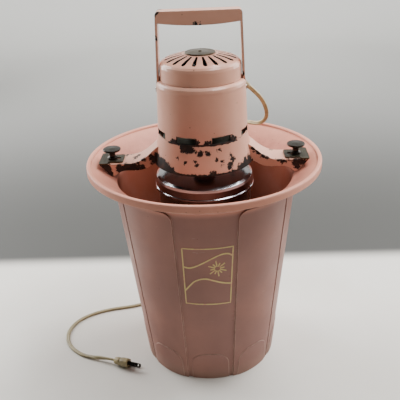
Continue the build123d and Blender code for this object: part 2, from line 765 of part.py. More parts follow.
def make_bearing_bracket():
    low, high = BRACKET_Z, BRACKET_Z + PLATE
    bar = block(-45, 45, -9, 9, low, high) + rod(12, low, high) - rod(5.0, low - 1, high + 1)
    for side in (-1, 1):
        bar -= rod(SCREW_HOLE_R, low - 1, high + 1, side * STATOR_SCREW_X)
    return bar


def make_shaft_bearings():
    shaft = SHAFT_R + FIT
    high = tube(5.0, shaft, BRACKET_Z - 4.0, BRACKET_Z + 5.0) + tube(7.5, shaft, BRACKET_Z - 4.0, BRACKET_Z)
    low = tube(5.0, shaft, TOP_PLATE_Z - 1.5, TOP_PLATE_Z + 5.0)
    low += tube(7.5, shaft, TOP_PLATE_Z + PLATE, TOP_PLATE_Z + 5.0)
    return Compound([high, low])


def make_motor_shaft():
    return rod(SHAFT_R, SHAFT_LOW_Z, SHAFT_TOP_Z)


def make_motor_pinion():
    """Small gear pressed on the end of the motor shaft."""
    return spur_gear(SMALL_TEETH, COUNTER_LOW_Z - 0.5, COUNTER_HIGH_Z + 0.5, SHAFT_R)


def make_rotor_core():
    """Laminated drum with a cast ring at each end."""
    core = tube(ROTOR_R, SHAFT_R, STACK_LOW_Z - 1.0, STACK_HIGH_Z + 1.0)
    for low in (STACK_LOW_Z - 4.0, STACK_HIGH_Z + 1.0):
        core += tube(ROTOR_R - 0.6, ROTOR_R - 5.5, low, low + 3.0)
    return core


def make_cooling_fan():
    """Fan with a hub, a disc and eight raked blades."""
    low, high = FAN_Z, FAN_Z + 12.0
    fan = tube(7.0, SHAFT_R, low - 3.0, high - 2.0) + tube(42.0, SHAFT_R, low, low + 1.2)
    blade = Rot(0, 0, 18) * block(12, 43.0, -0.6, 0.6, low + 0.6, high)
    return fan + ring_of(blade, [i * 45.0 for i in range(8)])


def make_housing_screws():
    """Three studs that tie the housing's inner lugs to the deck."""
    screws = []
    for degrees in HOUSING_SCREW_DEGS:
        x, y = polar(HOUSING_SCREW_R, degrees)
        screw = rod(2.0, DECK_Z - 2.4, LUG_Z + 3.0, x, y) + rod(3.6, DECK_Z - 2.4, DECK_Z, x, y)
        screws.append(screw)
    return Compound(screws)


def make_housing_lugs():
    """Three angle lugs inside the housing that take the housing screws."""
    shelf = block(46.5, 60.0, -5.5, 5.5, LUG_Z, LUG_Z + 3.0)
    back = tube(62.0, 57.4, LUG_Z, LUG_Z + 13.0) & block(50.0, 60.0, -5.5, 5.5, LUG_Z, LUG_Z + 13.0)
    lug = (shelf + back) & rod(LUG_R, LUG_Z - 1, LUG_Z + 20)
    lug -= rod(2.0, LUG_Z - 1, LUG_Z + 4, HOUSING_SCREW_R)
    return Compound(ring_of(lug, HOUSING_SCREW_DEGS))


# ---- cord ----
def relief_plane():
    """Frame of the cord's exit: its Z axis points outwards and down."""
    az, tilt = math.radians(RELIEF_AZ), math.radians(RELIEF_TILT)
    start = (RELIEF_R * math.cos(az), RELIEF_R * math.sin(az), RELIEF_Z)
    out = (math.cos(az) * math.cos(tilt), math.sin(az) * math.cos(tilt), -math.sin(tilt))
    return Plane(origin=start, z_dir=out)


def relief_cutter():
    return relief_plane() * Pos(0, 0, 2.0) * Cylinder(RELIEF_HALF_W + 0.2, 16)


def make_cord_relief():
    """Tapered sleeve through the housing wall, with the cord's end face at its tip."""
    wide, low = RELIEF_HALF_W, -RELIEF_INSIDE
    taper = [(wide, 4.0), (wide - 0.6, 5.5), (3.5, RELIEF_LONG)]
    return relief_plane() * turned((0, low), (wide, low), *taper, (0, RELIEF_LONG))


def relief_tip():
    return (relief_plane() * Pos(0, 0, RELIEF_LONG)).position


def lead_points():
    """From the housing, over the tub's rear rim, down behind it and into the coil."""
    tip = relief_tip()
    beyond = (relief_plane() * Pos(0, 0, RELIEF_LONG + 18.0)).position
    return [
        (tip.X, tip.Y, tip.Z),
        (beyond.X, beyond.Y, beyond.Z),
        (91.5, 56.0, 375.5),
        (96.5, 76.5, 350.0),
        (87.5, 96.0, 333.0),
        (66.0, 115.0, 330.0),
        (53.0, 134.0, 333.5),
        (47.0, 154.0, 335.0),
        (44.0, 174.0, 334.0),
        (42.0, 190.0, 315.0),
        (41.0, 195.0, 270.0),
        (40.0, 197.0, 205.0),
        (38.5, 198.0, 135.0),
        (37.0, 199.0, 80.0),
        (35.8, 202.0, 45.0),
        (34.6, 209.0, 22.0),
        (33.4, 221.0, 7.5),
        (COIL_X + COIL_R, 238.0, FLOOR_Z),
    ]


def tail_points():
    """From the coil round behind the tub, along the floor in one open loop, and up into the plug."""
    end = plug_plane() * Pos(0, 0, -PLUG_LONG)
    behind = plug_plane() * Pos(0, 0, -PLUG_LONG - 18.0)
    return [
        (COIL_X - COIL_R, 236.0, FLOOR_Z),
        (COIL_X - COIL_R - 2.0, 210.0, FLOOR_Z),
        (-50.0, 180.0, FLOOR_Z),
        (-63.0, 150.0, FLOOR_Z),
        (-82.0, 122.0, FLOOR_Z),
        (-106.0, 99.0, FLOOR_Z),
        (-136.0, 85.5, FLOOR_Z),
        (-170.0, 80.0, FLOOR_Z),
        (-204.0, 68.0, FLOOR_Z),
        (-231.0, 46.0, FLOOR_Z),
        (-241.0, 13.0, FLOOR_Z),
        (-231.5, -18.0, FLOOR_Z),
        (-208.0, -41.0, FLOOR_Z),
        (-187.0, -49.5, FLOOR_Z + 1.0),
        (behind.position.X, behind.position.Y, behind.position.Z),
        (end.position.X, end.position.Y, end.position.Z),
    ]


def arc_radii(points):
    """0.45 of the shorter run beside each corner, divided by the tangent of half its turn."""
    radii = []
    for before, corner, after in zip(points, points[1:], points[2:]):
        first = Vector(*corner) - Vector(*before)
        second = Vector(*after) - Vector(*corner)
        turn = math.radians(first.get_angle(second))
        radii.append(0.45 * min(first.length, second.length) / math.tan(turn / 2))
    return radii


def make_cord_run(points, name):
    radii = arc_radii(points)
    path = FilletPolyline(*points, radius=radii)
    start = Plane(origin=path @ 0, z_dir=path % 0)
    run = sweep(start * Circle(CORD_W / 2), path=path)
    expected = math.pi * CORD_W**2 / 4 * path.length
    print(name, "radii", [round(r) for r in radii], "length", round(path.length, 1))
    print(name, "volume over section times length", round(run.volume / expected, 4))
    return run


def make_cord_coil():
    """Outer shape of three and a half turns, two beside each other and two high."""
    coil = tube(COIL_R + CORD_W, COIL_R - CORD_W, 0.05, 2 * CORD_W)
    coil = Pos(COIL_X, COIL_Y, 0) * coil
    return fillet(coil.edges(), 2.4)


# ---- plug ----
def plug_plane():
    """Frame at the plug's front face: Z along the blades, X across from blade to blade."""
    turn, roll = math.radians(PLUG_TURN), math.radians(PLUG_ROLL)
    along = Vector(math.cos(turn), math.sin(turn), 0)
    side = Vector(math.sin(turn), -math.cos(turn), 0)
    across = side * math.cos(roll) + Vector(0, 0, 1) * math.sin(roll)
    return Plane(origin=(PLUG_X, PLUG_Y, PLUG_Z), x_dir=across, z_dir=along)


def plug_section(half_x, half_y, cut):
    return chamfer(Rectangle(2 * half_x, 2 * half_y).vertices(), cut)


def make_plug_body():
    """Flat-sided plug, narrower where the cord enters."""
    front = plug_section(10.0, 7.0, 6.0)
    back = plug_section(5.6, 5.0, 2.4)
    body = extrude(front, -15.0)
    body += loft([Pos(0, 0, -15.0) * front, Pos(0, 0, -PLUG_LONG) * back])
    for side in (-1, 1):
        body -= Pos(side * BLADE_HALF_GAP, 0, -5.0) * Box(1.6, 6.4, 12.0)
    return plug_plane() * body


def make_plug_blades():
    blades = []
    for side in (-1, 1):
        blade = Pos(0, 0, -9.0) * Box(1.5, 6.3, 9.0 + BLADE_LONG, align=BASE)
        blade = chamfer(blade.edges().filter_by(Axis.X).group_by(Axis.Z)[-1], 1.4)
        blade -= Pos(0, 0, BLADE_LONG - 4.5) * Rot(0, 90, 0) * Cylinder(1.6, 4)
        blades.append(plug_plane() * Pos(side * BLADE_HALF_GAP, 0, 0) * blade)
    return Compound(blades)


# ---- all nodes ----
def nodes():
    return {
        "tub": make_tub(),
        "pivot_pin": make_pivot_pin(),
        "can": make_can(),
        "lid": make_lid(),
        "stem_bush": make_stem_bush(),
        "dasher_frame": make_dasher_frame(),
        "scraper_blades": make_scraper_blades(),
        "scraper_pins": make_scraper_pins(),
        "lower_frame": make_lower_frame(),
        "clamp_nuts": make_clamp_nuts(),
        "latch_plate_left": make_latch_plate(-1),
        "latch_plate_right": make_latch_plate(1),
        "thumb_screw_left": make_thumb_screw(-1),
        "thumb_screw_right": make_thumb_screw(1),
        "housing_body": make_housing_body(),
        "housing_cap": make_housing_cap(),
        "medallion": make_medallion(),
        "handle": make_handle(),
        "handle_rivets": make_handle_rivets(),
        "housing_screws": make_housing_screws(),
        "housing_lugs": make_housing_lugs(),
        "gear_plate_middle": plate_with_holes(MID_PLATE_Z, 4.0, 0),
        "gear_plate_upper": plate_with_holes(TOP_PLATE_Z, 4.5, 5.0),
        "plate_spacers": make_plate_spacers(),
        "gearcase_screws": make_gearcase_screws(),
        "output_bearing": make_output_bearing(),
        "output_hub": make_output_hub(),
        "output_gear": spur_gear(LARGE_TEETH, OUTPUT_LOW_Z, OUTPUT_HIGH_Z, HUB_R, HALF_PITCH),
        "stem_socket": make_stem_socket(),
        "countershaft": make_countershaft(),
        "counter_gear": make_counter_gear(),
        "counter_pinion": make_counter_pinion(),
        "countershaft_bushes": make_countershaft_bushes(),
        "motor_shaft": make_motor_shaft(),
        "motor_pinion": make_motor_pinion(),
        "rotor_core": make_rotor_core(),
        "cooling_fan": make_cooling_fan(),
        "stator_core": make_stator_core(),
        "stator_coils": make_stator_coils(),
        "stator_screws": make_stator_screws(),
        "stator_spacers": make_stator_spacers(),
        "bearing_bracket": make_bearing_bracket(),
        "shaft_bearings": make_shaft_bearings(),
        "cord_relief": make_cord_relief(),
        "cord_lead": make_cord_run(lead_points(), "cord_lead"),
        "cord_coil": make_cord_coil(),
        "cord_tail": make_cord_run(tail_points(), "cord_tail"),
        "plug_body": make_plug_body(),
        "plug_blades": make_plug_blades(),
    }


for name, shape in nodes().items():
    export_step(shape, f"parts/{name}.step")
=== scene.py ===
"""Electric ice cream freezer: the looks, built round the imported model. Metres, z up, -y to the front."""
import math

import bpy
import numpy as np
from mathutils import Matrix, Vector


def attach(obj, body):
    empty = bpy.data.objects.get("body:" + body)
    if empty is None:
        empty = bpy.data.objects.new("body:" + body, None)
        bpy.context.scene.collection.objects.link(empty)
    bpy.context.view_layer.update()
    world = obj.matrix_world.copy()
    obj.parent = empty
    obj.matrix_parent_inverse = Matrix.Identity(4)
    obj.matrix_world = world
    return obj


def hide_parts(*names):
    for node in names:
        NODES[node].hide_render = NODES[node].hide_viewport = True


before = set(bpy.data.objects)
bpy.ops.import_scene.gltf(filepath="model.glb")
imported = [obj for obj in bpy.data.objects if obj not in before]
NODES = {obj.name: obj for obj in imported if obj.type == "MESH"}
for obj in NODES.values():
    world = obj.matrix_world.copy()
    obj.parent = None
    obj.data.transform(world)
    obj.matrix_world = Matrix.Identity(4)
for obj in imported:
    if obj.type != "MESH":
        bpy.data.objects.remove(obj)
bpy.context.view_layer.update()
MM = 0.001
# the tub's wall in millimetres: its radius at the floor, how much wider it is at the top, and its height
TUB_FOOT_R, TUB_FLARE, TUB_WALL_HIGH = 98.0, 30.0, 296.2


# ---- camera ----
def make_camera():
    """A 54 mm lens in front of the freezer and above it, rolled a little."""
    yaw, pitch, roll = (math.radians(a) for a in (-1.784, 25.952, -2.366))
    forward = Vector((math.sin(yaw) * math.cos(pitch), math.cos(yaw) * math.cos(pitch), -math.sin(pitch)))
    level = Vector((math.cos(yaw), -math.sin(yaw), 0))
    upright = level.cross(forward)
    right = math.cos(roll) * level + math.sin(roll) * upright
    up = -math.sin(roll) * level + math.cos(roll) * upright
    data = bpy.data.cameras.new("camera")
    data.lens, data.sensor_width = 54.0, 36.0
    data.clip_start, data.clip_end = 0.05, 20.0
    camera = bpy.data.objects.new("camera", data)
    turn = Matrix((right, up, -forward)).transposed().to_4x4()
    camera.matrix_world = Matrix.Translation((0.01678, -0.79323, 0.63717)) @ turn
    bpy.context.scene.collection.objects.link(camera)
    bpy.context.scene.camera = camera


make_camera()


# ---- mesh helpers ----
def link(name, mesh):
    obj = bpy.data.objects.new(name, mesh)
    bpy.context.scene.collection.objects.link(obj)
    return obj


def mesh_piece(name, points, faces, sharp_degrees=35.0):
    mesh = bpy.data.meshes.new(name)
    mesh.from_pydata([tuple(p) for p in points], [], faces)
    mesh.validate()
    mesh.shade_smooth()
    mesh.set_sharp_from_angle(angle=math.radians(sharp_degrees))
    return link(name, mesh)


def grid_faces(rows, columns):
    """Quads over a closed tube of points stored row by row."""
    faces = []
    for i in range(rows - 1):
        for j in range(columns):
            a, b = i * columns + j, i * columns + (j + 1) % columns
            below = (i + 1) * columns
            faces.append((a, b, below + (j + 1) % columns, below + j))
    return faces


# ---- cord ----
CORD_W, CORD_T = 6.2 * MM, 3.7 * MM
CORE_R, CORE_X = 1.85 * MM, 1.25 * MM
FLOOR_Z = CORD_T / 2 + 0.0001
COIL_CENTRE = Vector((-4.0 * MM, 240.0 * MM, 0))
COIL_R = 36.0 * MM
COIL_TURNS = 3.5
POINTS_A_TURN = 16

RELIEF_AZ, RELIEF_TILT = math.radians(26.0), math.radians(40.0)
RELIEF_START = Vector((61.0 * math.cos(RELIEF_AZ), 61.0 * math.sin(RELIEF_AZ), 420.6)) * MM
RELIEF_LONG = 15.8 * MM
RELIEF_OUT = Vector((
    math.cos(RELIEF_AZ) * math.cos(RELIEF_TILT),
    math.sin(RELIEF_AZ) * math.cos(RELIEF_TILT),
    -math.sin(RELIEF_TILT),
))

PLUG_TURN, PLUG_ROLL = math.radians(-19.0), math.radians(45.0)
PLUG_FRONT = Vector((-126.0, -70.5, 7.6)) * MM
PLUG_LONG = 24.0 * MM
PLUG_ALONG = Vector((math.cos(PLUG_TURN), math.sin(PLUG_TURN), 0))
PLUG_SIDE = Vector((math.sin(PLUG_TURN), -math.cos(PLUG_TURN), 0))
PLUG_ACROSS = PLUG_SIDE * math.cos(PLUG_ROLL) + Vector((0, 0, 1)) * math.sin(PLUG_ROLL)
PLUG_FLAT = PLUG_ALONG.cross(PLUG_ACROSS)

# each point of the route in millimetres, then the way that the cord's flat side faces there
LEAD_ROUTE = [
    ((91.5, 56.0, 375.5), (0, -1, 0)),
    ((96.5, 76.5, 350.0), (0, -1, 0.1)),
    ((87.5, 96.0, 333.0), (0, -1, 0.5)),
    ((66.0, 115.0, 330.0), (0, -0.5, 1)),
    ((53.0, 134.0, 333.5), (0, -0.1, 1)),
    ((47.0, 154.0, 335.0), (0, 0, 1)),
    ((44.0, 174.0, 334.0), (0, 0.4, 1)),
    ((42.0, 190.0, 315.0), (0, 1, 0.4)),
    ((41.0, 195.0, 270.0), (0, 1, 0)),
    ((40.0, 197.0, 205.0), (0, 1, 0)),
    ((38.5, 198.0, 135.0), (0, 1, 0)),
    ((38.0, 199.0, 80.0), (0, 1, 0)),
    ((38.8, 202.0, 45.0), (0, 1, 0.1)),
    ((39.6, 209.0, 20.0), (0, 1, 0.7)),
    ((39.4, 223.0, 6.0), (0, 0.2, 1)),
]
TAIL_ROUTE = [
    (-42.5, 210.0),
    (-50.0, 180.0),
    (-63.0, 150.0),
    (-82.0, 122.0),
    (-106.0, 99.0),
    (-136.0, 85.5),
    (-170.0, 80.0),
    (-204.0, 68.0),
    (-231.0, 46.0),
    (-241.0, 13.0),
    (-231.5, -18.0),
    (-208.0, -41.0),
    (-187.0, -49.5),
]


def coil_route():
    """Three and a half turns: out to in below, then in to out on top, a cord's width apart."""
    count = int(COIL_TURNS * POINTS_A_TURN)
    points = []
    for i in range(count + 1):
        share = i / count
        angle = 2 * math.pi * COIL_TURNS * share
        inward = 1 - abs(2 * share - 1)
        radius = COIL_R + CORD_W * (0.55 - 1.1 * min(1.0, 1.6 * inward)) + 0.4 * MM
        climb = min(1.0, max(0.0, (share - 0.44) / 0.1))
        height = FLOOR_Z + CORD_T * climb * climb * (3 - 2 * climb)
        points.append(COIL_CENTRE + Vector((radius * math.cos(angle), radius * math.sin(angle), height)))
    return points


def cord_route():
    """The cord's control points from the housing to the plug, each with the way that its flat side faces."""
    up, exit_flat = Vector((0, 0, 1)), Vector((0, -1, 0))
    route = [(RELIEF_START + RELIEF_OUT * RELIEF_LONG * 0.3, exit_flat)]
    route.append((RELIEF_START + RELIEF_OUT * (RELIEF_LONG + 18 * MM), exit_flat))
    route += [(Vector(place) * MM, Vector(flat)) for place, flat in LEAD_ROUTE]
    route += [(place, up) for place in coil_route()]
    route += [(Vector((x * MM, y * MM, FLOOR_Z)), up) for x, y in TAIL_ROUTE]
    route[-1][0].z += 1.0 * MM
    back = PLUG_FRONT - PLUG_ALONG * PLUG_LONG
    route.append((back - PLUG_ALONG * 18 * MM, (PLUG_FLAT + up) / 2))
    route.append((back + PLUG_ALONG * 4 * MM, PLUG_FLAT))
    return route


def spline_points(places):
    """Points along the smooth NURBS line whose control points these are."""
    curve = bpy.data.curves.new("cord_line", "CURVE")
    curve.dimensions = "3D"
    curve.resolution_u = 6
    spline = curve.splines.new("NURBS")
    spline.points.add(len(places) - 1)
    for point, place in zip(spline.points, places):
        point.co = (*place, 1.0)
    spline.order_u = 3
    spline.use_endpoint_u = True
    holder = link("cord_line", curve)
    mesh = bpy.data.meshes.new_from_object(holder)
    points = np.array([vertex.co[:] for vertex in mesh.vertices])
    bpy.data.objects.remove(holder)
    bpy.data.meshes.remove(mesh)
    bpy.data.curves.remove(curve)
    return points


def unit_rows(vectors):
    return vectors / np.linalg.norm(vectors, axis=1, keepdims=True)


def twin_core_section():
    """Outline of a two-core flat cord: two round cores side by side with a groove between."""
    cut = math.acos(CORE_X / CORE_R)
    turns = np.linspace(-(math.pi - cut), math.pi - cut, 11)
    right = [(CORE_X + CORE_R * math.cos(a), CORE_R * math.sin(a)) for a in turns]
    left = [(-x, -y) for x, y in right[1:-1]]
    return np.array(right + left)


def sweep(name, path, section, flats):
    """A closed section swept along a path, turned so that its y axis keeps to the given side."""
    tangents = unit_rows(np.gradient(path, axis=0))
    flats = unit_rows(flats - tangents * np.sum(flats * tangents, axis=1, keepdims=True))
    across = np.cross(tangents, flats)
    rows = path[:, None] + section[None, :, :1] * across[:, None] + section[None, :, 1:] * flats[:, None]
    count = len(section)
    faces = grid_faces(len(path), count)
    faces.append(tuple(range(count)))
    faces.append(tuple(len(path) * count - 1 - i for i in range(count)))
    return mesh_piece(name, rows.reshape(-1, 3), faces, 75)


def make_cord():
    route = cord_route()
    path = spline_points([place for place, _ in route])
    sides = np.array([flat[:] for _, flat in route])
    share = np.linspace(0, len(route) - 1, len(path))
    flats = np.stack([np.interp(share, np.arange(len(route)), sides[:, i]) for i in range(3)], axis=1)
    cord = sweep("cord", path, twin_core_section(), flats)
    return cord, [tuple(p) for p in path]


def lathe(name, profile, origin, axis, segments=48, sharp_degrees=35.0):
    """A turned piece from (radius, distance along the axis) points in millimetres, closed at both ends."""
    axis = axis.normalized()
    side = axis.orthogonal().normalized()
    other = axis.cross(side)
    points = []
    for radius, along in profile:
        for i in range(segments):
            angle = 2 * math.pi * i / segments
            outward = side * math.cos(angle) + other * math.sin(angle)
            points.append(origin + axis * along * MM + outward * radius * MM)
    faces = grid_faces(len(profile), segments)
    faces.append(tuple(reversed(range(segments))))
    faces.append(tuple((len(profile) - 1) * segments + i for i in range(segments)))
    return mesh_piece(name, points, faces, sharp_degrees)


def make_relief():
    """Ribbed rubber sleeve that tapers towards the cord."""
    profile = [(3.0, -5.0), (4.9, -5.0), (5.0, -4.4), (5.0, 2.6), (4.7, 3.0)]
    for rib in range(5):
        start, wide = 3.4 + 2.3 * rib, 4.75 - 0.18 * rib
        profile += [(wide - 0.55, start), (wide - 0.05, start + 0.25), (wide, start + 0.7)]
        profile += [(wide - 0.1, start + 1.3), (wide - 0.6, start + 1.6)]
    profile += [(3.6, 15.2), (3.4, 15.8), (2.9, 15.8)]
    return lathe("cord_relief_sleeve", profile, RELIEF_START, RELIEF_OUT)


# half across the blades, half the other way, corner cut: the plug's section at distances behind its front
PLUG_ROWS = [
    (0.0, 8.8, 5.8, 5.2),
    (-0.5, 9.6, 6.6, 5.8),
    (-1.4, 10.0, 7.0, 6.0),
    (-4.0, 10.0, 7.0, 6.0),
    (-9.0, 9.7, 6.8, 5.7),
    (-12.0, 9.0, 6.4, 5.1),
    (-13.0, 8.3, 6.0, 4.6),
    (-14.2, 8.2, 5.9, 4.5),
    (-15.2, 8.6, 6.1, 4.7),
    (-17.0, 8.4, 6.0, 4.4),
    (-20.0, 7.2, 5.5, 3.5),
    (-22.6, 5.9, 5.0, 2.7),
    (-24.0, 5.0, 4.3, 2.3),
    (-24.4, 4.0, 3.2, 1.8),
]


def plug_outline(half_x, half_y, cut):
    """Eight-sided outline with each side in four steps and its corners eased."""
    corners = [(half_x, cut - half_y), (half_x, half_y - cut), (half_x - cut, half_y), (cut - half_x, half_y)]
    corners += [(-x, -y) for x, y in corners]
    outline = []
    for (x0, y0), (x1, y1) in zip(corners, corners[1:] + corners[:1]):
        for share in (0.08, 0.36, 0.64, 0.92):
            outline.append((x0 + (x1 - x0) * share, y0 + (y1 - y0) * share))
    return outline


def make_plug():
    points = []
    for along, half_x, half_y, cut in PLUG_ROWS:
        for x, y in plug_outline(half_x, half_y, cut):
            points.append(PLUG_FRONT + (PLUG_ALONG * along + PLUG_ACROSS * x + PLUG_FLAT * y) * MM)
    count = len(points) // len(PLUG_ROWS)
    faces = grid_faces(len(PLUG_ROWS), count)
    faces.append(tuple(reversed(range(count))))
    faces.append(tuple(len(points) - count + i for i in range(count)))
    return mesh_piece("plug_moulding", points, faces, 32)


cord, cord_path = make_cord()
relief = make_relief()
plug = make_plug()
for piece in (cord, relief, plug):
    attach(piece, "drive_unit")
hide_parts("cord_lead", "cord_coil", "cord_tail")
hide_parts("cord_relief")
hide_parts("plug_body")


# ---- stage and light ----
def area_light(name, place, size, watts, aim=(0, 0, 0.25)):
    data = bpy.data.lights.new(name, "AREA")
    data.shape, data.size, data.size_y = "RECTANGLE", size[0], size[1]
    data.energy = watts
    light = bpy.data.objects.new(name, data)
    light.location, light.visible_camera = place, False
    light.rotation_euler = (Vector(aim) - Vector(place)).to_track_quat("-Z", "Y").to_euler()
    bpy.context.scene.collection.objects.link(light)


def make_stage():
    """A round pale floor that curves up into a backdrop on every side."""
    flat, bend, top, sides = 2.3, 0.5, 2.8, 72
    profile = [(0.02, 0.0), (0.6, 0.0), (flat, 0.0)]
    for i in range(1, 13):
        angle = math.radians(90 * i / 12)
        profile.append((flat + bend * math.sin(angle), bend * (1 - math.cos(angle))))
    profile.append((flat + bend, top))
    turns = [2 * math.pi * i / sides for i in range(sides)]
    points = [(out * math.cos(turn), out * math.sin(turn), z) for out, z in profile for turn in turns]
    faces = grid_faces(len(profile), sides) + [tuple(range(sides))]
    floor = mesh_piece("floor", points, faces, 60)
    return floor


floor = make_stage()
area_light("left_light", (-1.15, 0.66, 0.75), (0.9, 1.1), watts=30)
area_light("right_light", (1.2, 0.62, 0.78), (0.9, 1.1), watts=20)
area_light("top_light", (0.6, 0.1, 1.65), (1.5, 0.5), watts=38)
area_light("backdrop_light", (0.0, 0.7, 1.7), (2.6, 0.5), watts=44, aim=(0, 2.2, 0.1))
world = bpy.data.worlds.new("world")
world.use_nodes = True
world.node_tree.nodes["Background"].inputs["Color"].default_value = (0.9, 0.9, 0.88, 1)
world.node_tree.nodes["Background"].inputs["Strength"].default_value = 0.01
bpy.context.scene.world = world


# ---- colours, as sRGB from 0 to 255 ----
PINK_PLASTIC, PINK_PLASTIC_DULL = (217, 151, 130), (205, 139, 117)
PINK_ENAMEL, PINK_ENAMEL_DULL = (227, 172, 149), (217, 161, 137)
# painted shade for the tub's inside
TUB_INSIDE_SHADE = (132, 68, 48)
# painted shade: the tub's wall below the flange is darkened towards this colour
WALL_SHADE_PINK = (146, 106, 97)
# first colour: painted shade for the inner slope of the tub's flange
# second colour: paler edges, a painted highlight with rubbed wear
THROAT_SHADE_PINK, EDGE_HIGHLIGHT_AND_WEAR_PINK = (172, 112, 97), (236, 200, 184)
# the first two colours darken creases and corners, as painted shade and grime
GRIME_AND_SHADE, DARK_GRIME_AND_SHADE, DUST = (70, 42, 34), (52, 40, 28), (170, 156, 136)
CORD_HIGH, CORD_LOW, CORD_DIRT = (188, 172, 128), (146, 134, 100), (106, 90, 60)
GOLD = (212, 190, 122)
FLOOR_COLOUR, FLOOR_COLOUR_2 = (222, 219, 212), (216, 212, 204)
# painted light: the backdrop runs from a shaded grey low down to a lit white high up
BACKDROP_SHADED, BACKDROP_LIT = (76, 76, 74), (248, 248, 244)
STAGE_FRONT = (128, 127, 125)


# ---- materials ----
EDGE_WANDER = 4.0 * MM


def linear(colour):
    """An sRGB colour from 0 to 255, in the linear values that a shader takes."""
    values = []
    for level in colour:
        share = level / 255
        values.append(share / 12.92 if share <= 0.04045 else ((share + 0.055) / 1.055) ** 2.4)
    return (*values, 1.0)


class Recipe:
    """A procedural material: one Principled shader and the nodes that feed it."""

    def __init__(self, name, **fixed):
        self.material = bpy.data.materials.new(name)
        self.material.use_nodes = True
        self.tree = self.material.node_tree
        self.shader = self.tree.nodes["Principled BSDF"]
        self.place = self.add("ShaderNodeTexCoord").outputs["Object"]
        for label, value in fixed.items():
            self.put(self.shader, label.replace("_", " ").title().replace("Ior", "IOR"), value)

    def add(self, kind, **settings):
        node = self.tree.nodes.new(kind)
        for label, value in settings.items():
            setattr(node, label, value)
        return node

    def put(self, node, socket, value):
        """Sets a socket to a number or a colour, or links it to another node's output."""
        if hasattr(value, "is_linked"):
            self.tree.links.new(value, node.inputs[socket])
        else:
            node.inputs[socket].default_value = value

    def math(self, operation, first, second=0.0, third=0.0):
        node = self.add("ShaderNodeMath", operation=operation)
        for index, value in enumerate((first, second, third)):
            self.put(node, index, value)
        return node.outputs[0]

    def vector(self, operation, first, second=(0, 0, 0), output=0):
        node = self.add("ShaderNodeVectorMath", operation=operation)
        self.put(node, 0, first)
        self.put(node, 1, second)
        return node.outputs[output]

    def stretched(self, scale):
        return self.vector("MULTIPLY", self.place, scale)

    def noise(self, scale, detail=3.0, rough=0.55, where=None):
        node = self.add("ShaderNodeTexNoise")
        self.put(node, "Vector", self.place if where is None else where)
        self.put(node, "Scale", scale)
        self.put(node, "Detail", detail)
        self.put(node, "Roughness", rough)
        return node.outputs["Fac"]

    def cells(self, scale):
        node = self.add("ShaderNodeTexVoronoi")
        self.put(node, "Vector", self.place)
        self.put(node, "Scale", scale)
        return node.outputs["Distance"]

    def ramp(self, value, low, high, to_low=0.0, to_high=1.0):
        node = self.add("ShaderNodeMapRange", interpolation_type="SMOOTHSTEP")
        for index, item in enumerate((value, low, high, to_low, to_high)):
            self.put(node, index, item)
        return node.outputs[0]

    def mix(self, share, first, second):
        node = self.add("ShaderNodeMix", data_type="RGBA")
        self.put(node, 0, share)
        self.put(node, 6, first)
        self.put(node, 7, second)
        return node.outputs[2]

    def split(self, vector=None):
        node = self.add("ShaderNodeSeparateXYZ")
        self.put(node, 0, vector or self.place)
        return node.outputs

    def from_axis(self):
        """Distance from the tall axis."""
        x, y, _ = self.split()
        return self.math("SQRT", self.math("ADD", self.math("MULTIPLY", x, x), self.math("MULTIPLY", y, y)))

    def rings(self, lines):
        """Fine uneven rings round the tall axis."""
        node = self.add("ShaderNodeTexNoise", noise_dimensions="1D")
        reach = self.math("ADD", self.from_axis(), self.split()[2])
        self.put(node, "W", self.math("MULTIPLY", reach, lines))
        self.put(node, "Scale", 1.0)
        return node.outputs["Fac"]

    def rounded(self, radius):
        node = self.add("ShaderNodeBevel", samples=6)
        self.put(node, "Radius", radius)
        return node.outputs[0]

    def edge(self, radius):
        """How near a point is to a sharp edge, from 0 to about 1."""
        normal = self.add("ShaderNodeNewGeometry").outputs["Normal"]
        facing = self.vector("DOT_PRODUCT", self.rounded(radius), normal, 1)
        return self.ramp(facing, 0.995, 0.86)

    # Painted shade: ambient occlusion within reach, near 1 in creases and corners and 0 in the open, for
    # darkening colours where shade falls.
    def crevice(self, reach):
        node = self.add("ShaderNodeAmbientOcclusion", samples=6, only_local=True)
        self.put(node, "Distance", reach)
        return self.ramp(node.outputs["AO"], 0.8, 0.25)

    def bump(self, height, depth, strength=1.0, normal=None):
        node = self.add("ShaderNodeBump")
        self.put(node, "Height", height)
        self.put(node, "Distance", depth)
        self.put(node, "Strength", strength)
        if normal is not None:
            self.put(node, "Normal", normal)
        return node.outputs[0]

    def wear(self, spots, field=None):
        """Where a coat is lost: round the given spots (x, y, z, radius in millimetres), with ragged edges."""
        for x, y, z, radius in spots:
            away = self.vector("DISTANCE", self.place, (x * MM, y * MM, z * MM), 1)
            near = self.math("MULTIPLY_ADD", away, -1 / EDGE_WANDER, radius * MM / EDGE_WANDER)
            field = near if field is None else self.math("MAXIMUM", field, near)
        broad = self.math("MULTIPLY_ADD", self.noise(170.0, 5.0, 0.65), 3.6, -1.8)
        fine = self.math("MULTIPLY_ADD", self.noise(430.0, 5.0, 0.75), 3.0, -1.5)
        return self.ramp(self.math("ADD", self.math("ADD", field, broad), fine), 0.0, 0.12)

    def finish(self, colour, roughness, normal=None, metallic=None, coat=None):
        self.put(self.shader, "Base Color", colour)
        self.put(self.shader, "Roughness", roughness)
        if normal is not None:
            self.put(self.shader, "Normal", normal)
        if metallic is not None:
            self.put(self.shader, "Metallic", metallic)
        if coat is not None:
            self.put(self.shader, "Coat Weight", coat)
        return self.material


def aged(recipe, colour, other, scale=9.0, low=0.35, high=0.7):
    """Base colour that drifts towards another one in broad patches, with fine mottling."""
    patches = recipe.ramp(recipe.noise(scale, 4.0), low, high)
    fine = recipe.ramp(recipe.noise(scale * 14, 3.0), 0.3, 0.75, 0.0, 0.35)
    return recipe.mix(fine, recipe.mix(patches, linear(colour), linear(other)), linear(other))


